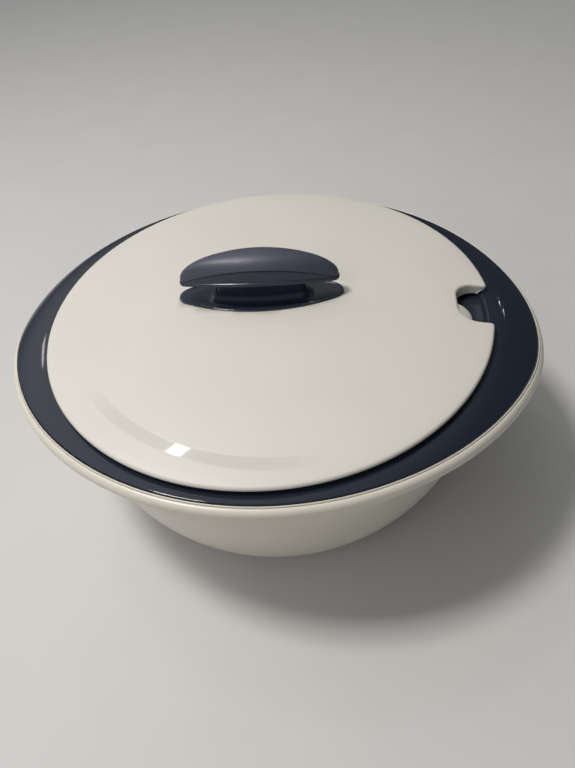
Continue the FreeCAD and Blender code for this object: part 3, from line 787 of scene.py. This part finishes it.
def offset_plan(points, distance):
    """Moves every point of a closed outline inwards along the mean of its two edges' normals."""
    moved = []
    count = len(points)
    for step in range(count):
        before, here, after = points[step - 1], points[step], points[(step + 1) % count]
        normals = []
        for a, b in ((before, here), (here, after)):
            run = math.hypot(b[0] - a[0], b[1] - a[1])
            normals.append(((b[1] - a[1]) / run, (a[0] - b[0]) / run))
        nx, ny = (normals[0][k] + normals[1][k] for k in range(2))
        size = nx * nx + ny * ny
        moved.append((here[0] - 2 * nx / size * distance, here[1] - 2 * ny / size * distance))
    return moved


plan = cover_plan()
print("cover outline", len(plan), "points")

# %% Cover mesh


def limited(points, radius):
    """Pulls points beyond a radius back to it."""
    return [(x * min(1, radius / math.hypot(x, y)), y * min(1, radius / math.hypot(x, y)))
            for x, y in points]


def on_dome(points, drop):
    return [(x, y, dome_height(math.hypot(x, y)) - drop) for x, y in points]


def at_height(points, height):
    return [(x, y, height) for x, y in points]


def edge_only(inset):
    """Outline moved in only where it is the round edge, not in the notch."""
    return [inner if math.hypot(*outer) > 115.5 else outer
            for outer, inner in zip(plan, offset_plan(plan, inset))]


def inside(point, outline):
    """True if a plan point lies inside a closed outline."""
    hit = False
    for (ax, ay), (bx, by) in zip(outline, outline[1:] + outline[:1]):
        if (ay > point[1]) != (by > point[1]):
            if point[0] < ax + (bx - ax) * (point[1] - ay) / (by - ay):
                hit = not hit
    return hit


def fill(build, outer, hole, outer_verts, hole_verts, drop, upwards):
    """Fills between an outline and a hole with dome points, and keeps the outline's own."""
    flat = [Vector(p) for p in outer] + [Vector(p) for p in hole]
    count, total = len(outer), len(outer) + len(hole)
    loops = [(k, (k + 1) % count) for k in range(count)]
    loops += [(count + k, count + (k + 1) % len(hole)) for k in range(len(hole))]
    wide = offset_plan(hole, -EDGE_MARGIN)
    tight = offset_plan(outer, EDGE_MARGIN)
    for row in range(1, 29):
        radius = row * RING_GAP
        steps = max(6, round(radius * 2 * math.pi / POINT_GAP))
        for step in range(steps):
            angle = 2 * math.pi * (step + 0.5 * (row % 2)) / steps
            spot = (radius * math.cos(angle), radius * math.sin(angle))
            if inside(spot, tight) and not inside(spot, wide):
                flat.append(Vector(spot))
    points, _, faces, origin, _, _ = delaunay_2d_cdt(flat, loops, [], 0, 1e-6)
    known = outer_verts + hole_verts
    verts = []
    for point, ids in zip(points, origin):
        fixed = [k for k in ids if k < total]
        if fixed:
            verts.append(known[fixed[0]])
        else:
            height = dome_height(point.length) - drop
            verts.append(build.verts.new(Vector((point.x, point.y, height)) * MM))
    for face in faces:
        middle = sum((points[k] for k in face), Vector((0, 0))) / len(face)
        if inside(middle, outer) and not inside(middle, hole):
            order = face if upwards else list(reversed(face))
            build.faces.new([verts[k] for k in order])


def oval_points(shape, tip_steps=26, side_steps=30):
    """Points of a four arc oval, evenly along each arc, each with its outward direction."""
    half_length, half_width, tip = shape
    tip_centre = half_length - tip
    rise = half_width - tip
    offset = (tip_centre ** 2 - rise ** 2) / (2 * rise)
    join = math.atan2(offset, tip_centre)
    side = half_width + offset
    arcs = ((tip_centre, 0, tip, -join, join, tip_steps),
            (0, -offset, side, join, math.pi - join, side_steps),
            (-tip_centre, 0, tip, math.pi - join, math.pi + join, tip_steps),
            (0, offset, side, math.pi + join, 2 * math.pi - join, side_steps))
    points = []
    for x, y, radius, start, end, steps in arcs:
        for step in range(steps):
            angle = start + (end - start) * step / steps
            nx, ny = math.cos(angle), math.sin(angle)
            points.append((x + radius * nx, y + radius * ny, nx, ny))
    return points


def on_cover(x, y, z):
    """Place on the cover of a point given about the handle's middle."""
    return HANDLE_TURN @ Vector((x + HANDLE_OFFSET, y, z))


def base_plan(grow):
    """Outline of the handle's base, turned as the handle is."""
    return [tuple(on_cover(x + nx * grow, y + ny * grow, 0).xy)
            for x, y, nx, ny in oval_points(HANDLE_BASE)]


def cover_mesh():
    build = bmesh.new()
    inner_plan = offset_plan(plan, NOTCH_WALL)
    inner_rim = limited(inner_plan, 109.5)
    window = base_plan(-2.0)
    rows = [on_dome(inner_rim, COVER_WALL),
            at_height(limited(inner_plan, 111.9), 109.0),
            at_height(limited(inner_plan, 111.5), 107.2),
            at_height(limited(offset_plan(plan, 1.3), 111.8), HEM),
            at_height(limited(offset_plan(plan, 0.3), 112.8), HEM),
            at_height(limited(plan, 113.1), 107.05),
            at_height(limited(plan, 114.2), 107.9),
            at_height(limited(plan, 115.3), 108.75),
            at_height(limited(plan, 116.3), 109.3),
            at_height(limited(plan, 117.2), 109.65),
            on_dome(edge_only(0.3), 2.2),
            on_dome(edge_only(0.07), 1.85)]
    for step in range(6):
        angle = math.pi / 2 * (1 - step / 5)
        rows.append(on_dome(offset_plan(plan, EDGE_ROUND * (1 - math.sin(angle))),
                            EDGE_ROUND * (1 - math.cos(angle))))
    made = [[build.verts.new(Vector(p) * MM) for p in row] for row in rows]
    for low, high in zip(made, made[1:]):
        for step in range(len(low)):
            after = (step + 1) % len(low)
            build.faces.new((low[step], low[after], high[after], high[step]))
    wall = [[build.verts.new(Vector(p) * MM) for p in on_dome(window, drop)]
            for drop in (COVER_WALL, 0.0)]
    for step in range(len(window)):
        after = (step + 1) % len(window)
        build.faces.new((wall[0][after], wall[0][step], wall[1][step], wall[1][after]))
    top = [tuple(p[:2]) for p in rows[-1]]
    fill(build, top, window, made[-1], wall[1], 0.0, True)
    fill(build, inner_rim, window, made[0], wall[0], COVER_WALL, False)
    return build


NOTCH_TURN = Matrix.Rotation(NOTCH_ANGLE, 4, "Z")
plan = [tuple((NOTCH_TURN @ Vector((x, y, 0))).xy) for x, y in plan]
cover = mesh_object("cover_dome", cover_mesh())
print("cover_dome", len(cover.data.polygons), "faces")
dress(cover, "cover", "white_satin", "cover")

# %% [markdown]
# A pin under the dome runs between the two blocks on the lid and ends the turn. It could be joined
# to the dome with a Boolean, but that would cut up the dome's even mesh, so it is a piece of its
# own whose top is sunk into the dome's wall.

# %% Stop pin
PIN_BOTTOM = 105.3
PIN_TOP = 115.6
pin_plan = circle_plan(STOP_PIN, STOP_RADIUS, 32)
stop_pin = upright("stop_pin", pin_plan, PIN_BOTTOM, PIN_TOP, stop_angle)
dress(stop_pin, "cover", "white_satin")
print("stop_pin", len(stop_pin.data.polygons), "faces")

# %% [markdown]
# The notch has a small round tongue in its near inner corner that slopes down into it. It is a
# thin disc, pushed back to the notch's wall where it would come through.

# %% Tongue in the notch
TONGUE_OFFSET = -7.6
TONGUE_RADIUS = 7.2
TONGUE_DROP = 1.5
TONGUE_SLOPE = math.tan(math.radians(25))
TONGUE_ROOT = 0.8


def tongue_mesh():
    start, half_width, corner = NOTCH
    corner_x, corner_y = start + corner, corner - half_width
    build = bmesh.new()
    rows = []
    for inset, drop in ((3.0, 1.6), (0.5, 1.6), (0.1, 1.3), (0.0, 0.8), (0.1, 0.35), (0.5, 0.0),
                        (3.0, 0.0)):
        row = []
        for step in range(64):
            angle = 2 * math.pi * step / 64
            x = start + (TONGUE_RADIUS - inset) * math.cos(angle)
            y = TONGUE_OFFSET + (TONGUE_RADIUS - inset) * math.sin(angle)
            if x < corner_x and y < corner_y:
                away = math.hypot(x - corner_x, y - corner_y)
                pull = min(1.0, (corner + TONGUE_ROOT) / away)
                x = corner_x + (x - corner_x) * pull
                y = corner_y + (y - corner_y) * pull
            x = max(x, start - TONGUE_ROOT)
            top = dome_height(start) - TONGUE_DROP - (x - start) * TONGUE_SLOPE
            row.append(NOTCH_TURN @ (Vector((x, y, top - drop)) * MM))
        rows.append(row)
    middles = []
    for row in (rows[0], rows[-1]):
        middles.append([sum(row, Vector()) / len(row)])
    add_rows(build, [middles[0]] + rows + [middles[1]])
    bmesh.ops.remove_doubles(build, verts=build.verts, dist=1e-7)
    return build


tongue = mesh_object("notch_tongue", tongue_mesh())
dress(tongue, "cover", "white_satin")
print("notch_tongue", len(tongue.data.polygons), "faces")

# %% [markdown]
# ## Handle
#
# The handle is three mouldings: a glossy dish let into the cover, a grip that stands in it on a
# web, and a satin crown along the top of the grip. Each is a stack of rings again, but these rings
# follow an oval about the handle and rise and fall along its length. The web spreads into the dish
# in a hollow fillet, as a moulding does. A box with a bevel would be quicker, but its edges would
# be straight, and here no edge is: the underside, the crease and the crown are three different
# arches.

# %% Handle sizes
GRIP = (42.0, 11.0, 4.5)
WEB = (24.0, 4.0, 3.0)
WEB_FOOT = 5.0
DISH_RIM = 0.8
DISH_DEPTH = 4.2
GRIP_BOTTOM = 127.6
GRIP_ARCH = 3.6
BEAD = 2.0
CREASE_TIP = 128.8
CREASE_MIDDLE = 139.8
GRIP_TOP = 144.0
GRIP_LEAN = 0.1


def handle_ring(shape, grow, height, scale=1.0):
    """Ring about the handle; grow takes the place along it, height takes the plan."""
    row = []
    for x, y, nx, ny in oval_points(shape):
        outward = grow(x) if callable(grow) else grow
        x, y = (x + nx * outward) * scale, (y + ny * outward) * scale
        row.append(on_cover(x, y, height(x, y)) * MM)
    return row


def arch(x, tip, middle):
    """Height of a circular arch along the grip."""
    rise = middle - tip
    radius = (GRIP[0] ** 2 + rise ** 2) / (2 * rise)
    return middle - radius + math.sqrt(radius ** 2 - min(abs(x), GRIP[0]) ** 2)


def underside(x, y=0.0):
    return arch(x, GRIP_BOTTOM, GRIP_BOTTOM + GRIP_ARCH)


def crease(x, y=0.0):
    """The crease's arch, held softly above the bead at both tips."""
    low, high = underside(x) + BEAD + 0.2, arch(x, CREASE_TIP, CREASE_MIDDLE)
    return (low + high + math.hypot(high - low, 0.8)) / 2


def dish_floor(x, y):
    """The hollow follows the dome and is deepest in the middle."""
    share = (x / (HANDLE_BASE[0] - 1.2)) ** 2 + (y / (HANDLE_BASE[1] - 1.2)) ** 2
    top = dome_height(math.hypot(x + HANDLE_OFFSET, y)) + DISH_RIM - 0.1
    return top - DISH_DEPTH * max(0.0, 1 - share)


print("grip from", GRIP_BOTTOM, "to", GRIP_TOP, "mm")

# %% Dish


def above_dome(lift):
    return lambda x, y: dome_height(math.hypot(x + HANDLE_OFFSET, y)) + lift


dish_rows = [[on_cover(0, 0, 114.7) * MM],
             handle_ring(HANDLE_BASE, -5.0, lambda x, y: 114.8),
             handle_ring(HANDLE_BASE, -2.6, lambda x, y: 115.6),
             handle_ring(HANDLE_BASE, -2.2, lambda x, y: 116.4)]
dish_rows += [handle_ring(HANDLE_BASE, grow, above_dome(lift))
              for grow, lift in ((-2.2, -0.3), (-1.9, 0.05), (-0.2, 0.05), (-0.04, 0.12),
                                 (0.0, 0.3), (-0.05, 0.55), (-0.22, 0.74), (-0.5, DISH_RIM),
                                 (-0.85, 0.78), (-1.1, 0.68))]
dish_rows += [handle_ring(HANDLE_BASE, -1.2, dish_floor, scale)
              for scale in (0.999, 0.98, 0.95, 0.91, 0.86, 0.8, 0.72, 0.63, 0.53, 0.42, 0.3,
                            0.18, 0.08)]
dish_rows += [[on_cover(0, 0, dish_floor(0, 0)) * MM]]
dish = skin("dish", dish_rows)
dress(dish, "cover", "navy_dish", "handle_base")

# %% Grip


def face_ring(share):
    """Ring on the leaning side, between the bead and the crease."""
    def level(x, y=0.0):
        return underside(x) + BEAD + 0.1 + (crease(x) - underside(x) - BEAD - 0.2) * share
    return handle_ring(GRIP, lambda x: -0.62 - GRIP_LEAN * (level(x) - GRIP_BOTTOM - BEAD), level)


def lifted(lift):
    return lambda x, y: underside(x) + lift


def foot_row(share):
    """Ring of the hollow fillet between the dish and the web."""
    angle = math.pi / 2 * share
    return handle_ring(WEB, WEB_FOOT * (1 - math.sin(angle)),
                       lambda x, y: dish_floor(x, y) + WEB_FOOT * (1 - math.cos(angle)) - 0.05)


grip_rows = [[on_cover(0, 0, dish_floor(0, 0) - 0.4) * MM],
             handle_ring(WEB, WEB_FOOT - 1.0, lambda x, y: dish_floor(x, y) - 0.4)]
grip_rows += [foot_row(step / 8) for step in range(9)]
grip_rows += [handle_ring(WEB, 0.0, lifted(-4.0)), handle_ring(WEB, 0.15, lifted(-1.4)),
             handle_ring(WEB, 0.6, lifted(-0.5)), handle_ring(WEB, 1.5, lifted(0.0)),
             handle_ring(GRIP, -1.6, lifted(0.0))]
grip_rows += [handle_ring(GRIP, grow, lifted(lift))
              for grow, lift in ((-0.75, 0.0), (-0.42, 0.08), (-0.18, 0.24), (-0.04, 0.5),
                                 (0.0, 0.8), (0.0, 1.15), (-0.04, 1.45), (-0.16, 1.74),
                                 (-0.36, 1.94), (-0.56, 2.02))]
grip_rows += [face_ring(step / 8) for step in range(9)]
grip_rows += [handle_ring(GRIP, lambda x: -1.3 - GRIP_LEAN * (crease(x) - GRIP_BOTTOM - BEAD),
                          lambda x, y: crease(x) + 0.02)]
grip_rows += [handle_ring(GRIP, -2.0, crease, scale) for scale in (0.8, 0.4)]
grip_rows += [[on_cover(0, 0, crease(0)) * MM]]
grip = skin("grip", grip_rows)
dress(grip, "cover", "navy_smooth", "handle_grip")

# %% Crown


def grip_half_width(x):
    """Half the grip's width at a place along it."""
    half_length, half_width, tip = GRIP
    return oval_width(x, half_length, half_width, tip)


def oval_width(x, half_length, half_width, tip):
    tip_centre = half_length - tip
    rise = half_width - tip
    offset = (tip_centre ** 2 - rise ** 2) / (2 * rise)
    side = half_width + offset
    if abs(x) > tip_centre * (1 + tip / math.hypot(tip_centre, offset)):
        return math.sqrt(max(0.0, tip ** 2 - (abs(x) - tip_centre) ** 2))
    return math.sqrt(side ** 2 - x ** 2) - offset


CROWN_EDGE = 0.35
CROWN_END_RISE = 2.4
CROWN_SWELL = 1.2


def crown_grow(x):
    return -0.56 - GRIP_LEAN * (crease(x) - GRIP_BOTTOM - BEAD)


def crown_top(x, y):
    """Arched across the grip, and blunt at both ends."""
    inset = -crown_grow(x)
    along = min(1.0, abs(x) / (GRIP[0] - inset))
    across = min(1.0, abs(y) / max(0.01, grip_half_width(x) - inset))
    bulge = (GRIP_TOP + CROWN_SWELL - CREASE_MIDDLE - CROWN_EDGE - 0.1
             + CROWN_END_RISE * along ** 2)
    swell = bulge * math.sqrt(1 - along ** 7) * (1 - across ** 2.7)
    return crease(x) + 0.1 + CROWN_EDGE + swell


crown_rows = [[on_cover(0, 0, crease(0) + 0.1) * MM]]
crown_rows += [handle_ring(GRIP, crown_grow, lambda x, y: crease(x) + 0.1, scale)
               for scale in (0.4, 0.8, 0.96)]
crown_rows += [handle_ring(GRIP, lambda x, inset=inset: crown_grow(x) - inset,
                           lambda x, y, lift=lift: crease(x) + 0.1 + lift)
               for inset, lift in ((0.2, 0.0), (0.06, 0.04), (0.0, 0.16), (0.0, CROWN_EDGE))]
crown_rows += [handle_ring(GRIP, crown_grow, crown_top, scale)
               for scale in (0.998, 0.994, 0.988, 0.98, 0.97, 0.955, 0.935, 0.91, 0.875, 0.83,
                             0.77, 0.7, 0.61, 0.51, 0.4, 0.28, 0.16, 0.06)]
crown_rows += [[on_cover(0, 0, crown_top(0, 0)) * MM]]
crown = skin("crown", crown_rows)
dress(crown, "cover", "navy_satin", "grip_crown")

# %% [markdown]
# ## Floor and light
#
# A plain pale floor, a main lamp high on the left that draws the shadow, a wide soft lamp from the
# front that only lifts the shadows, and four small lamps that give the highlights in the gloss.
# The world is dim, and bright only on the left. The floor keeps the object's shadow.

# %% Floor
floor_mesh = bpy.data.meshes.new("floor")
floor_mesh.from_pydata([(-6, -6, 0), (6, -6, 0), (6, 6, 0), (-6, 6, 0)], [], [(0, 1, 2, 3)])
floor = bpy.data.objects.new("floor", floor_mesh)
bpy.context.scene.collection.objects.link(floor)
floor_mesh.materials.append(finish("floor", (0.6, 0.594, 0.58), 0.7, drift=0.02))

# %% Lights


def direction(azimuth, height):
    """Unit direction from an azimuth, from +X towards +Y, and an angle above the floor."""
    azimuth, height = math.radians(azimuth), math.radians(height)
    return Vector((math.cos(height) * math.cos(azimuth), math.cos(height) * math.sin(azimuth),
                   math.sin(height)))


def lamp(name, aim, towards, distance, size, power, colour=(1.0, 0.97, 0.93), seen=True):
    """Rectangular lamp that shines on a point from a direction, seen in gloss or not."""
    data = bpy.data.lights.new(name, "AREA")
    data.shape = "RECTANGLE"
    data.size, data.size_y = size
    data.energy = power
    data.color = colour
    light = bpy.data.objects.new(name, data)
    light.location = Vector(aim) + towards * distance
    light.rotation_euler = towards.to_track_quat("Z", "Y").to_euler()
    light.visible_glossy = seen
    bpy.context.scene.collection.objects.link(light)


lamp("main lamp", (0, 0, 0.1), direction(190, 67), 1.25, (0.22, 0.22), 10.6)
lamp("front fill", (0, 0, 0.06), direction(240, 38), 1.3, (0.9, 0.6), 2.5, seen=False)
lamp("strip", (-0.023, -0.102, 0.114), direction(135.5, 59), 3.0, (0.19, 0.09), 2.2)
lamp("far pair left", (0.121, 0.03, 0.107), direction(70, 35), 1.5, (0.012, 0.012), 0.02)
lamp("far pair right", (0.121, 0.03, 0.107), direction(67, 35), 1.5, (0.012, 0.012), 0.02)
lamp("side strip", (-0.12, 0, 0.107), direction(135, 36), 1.5, (0.05, 0.12), 0.1)

# %% World
WORLD_DARK = 0.07
WORLD_BRIGHT = 0.9
WORLD_FRONT = 0.2
BRIGHT_SIDE = direction(148, 50)
world = bpy.data.worlds.new("world")
world.use_nodes = True
sky = Tree(world.node_tree)
sky_parts = sky.node("ShaderNodeSeparateXYZ", None,
                     Vector=sky.node("ShaderNodeTexCoord").outputs["Generated"])
towards_light = (sky.wire(sky_parts, 0) * BRIGHT_SIDE.x + sky.wire(sky_parts, 1) * BRIGHT_SIDE.y
                 + sky.wire(sky_parts, 2) * BRIGHT_SIDE.z)
front = (sky.wire(sky_parts, 1) * -1.0).fade(0.0, 1.0)
strength = (towards_light.fade(0.45, 1.0) ** 2.5 * WORLD_BRIGHT + front * WORLD_FRONT
            + WORLD_DARK)
sky.feed(world.node_tree.nodes["Background"].inputs["Strength"], strength)
world.node_tree.nodes["Background"].inputs["Color"].default_value = (0.95, 0.97, 1.0, 1.0)
bpy.context.scene.world = world
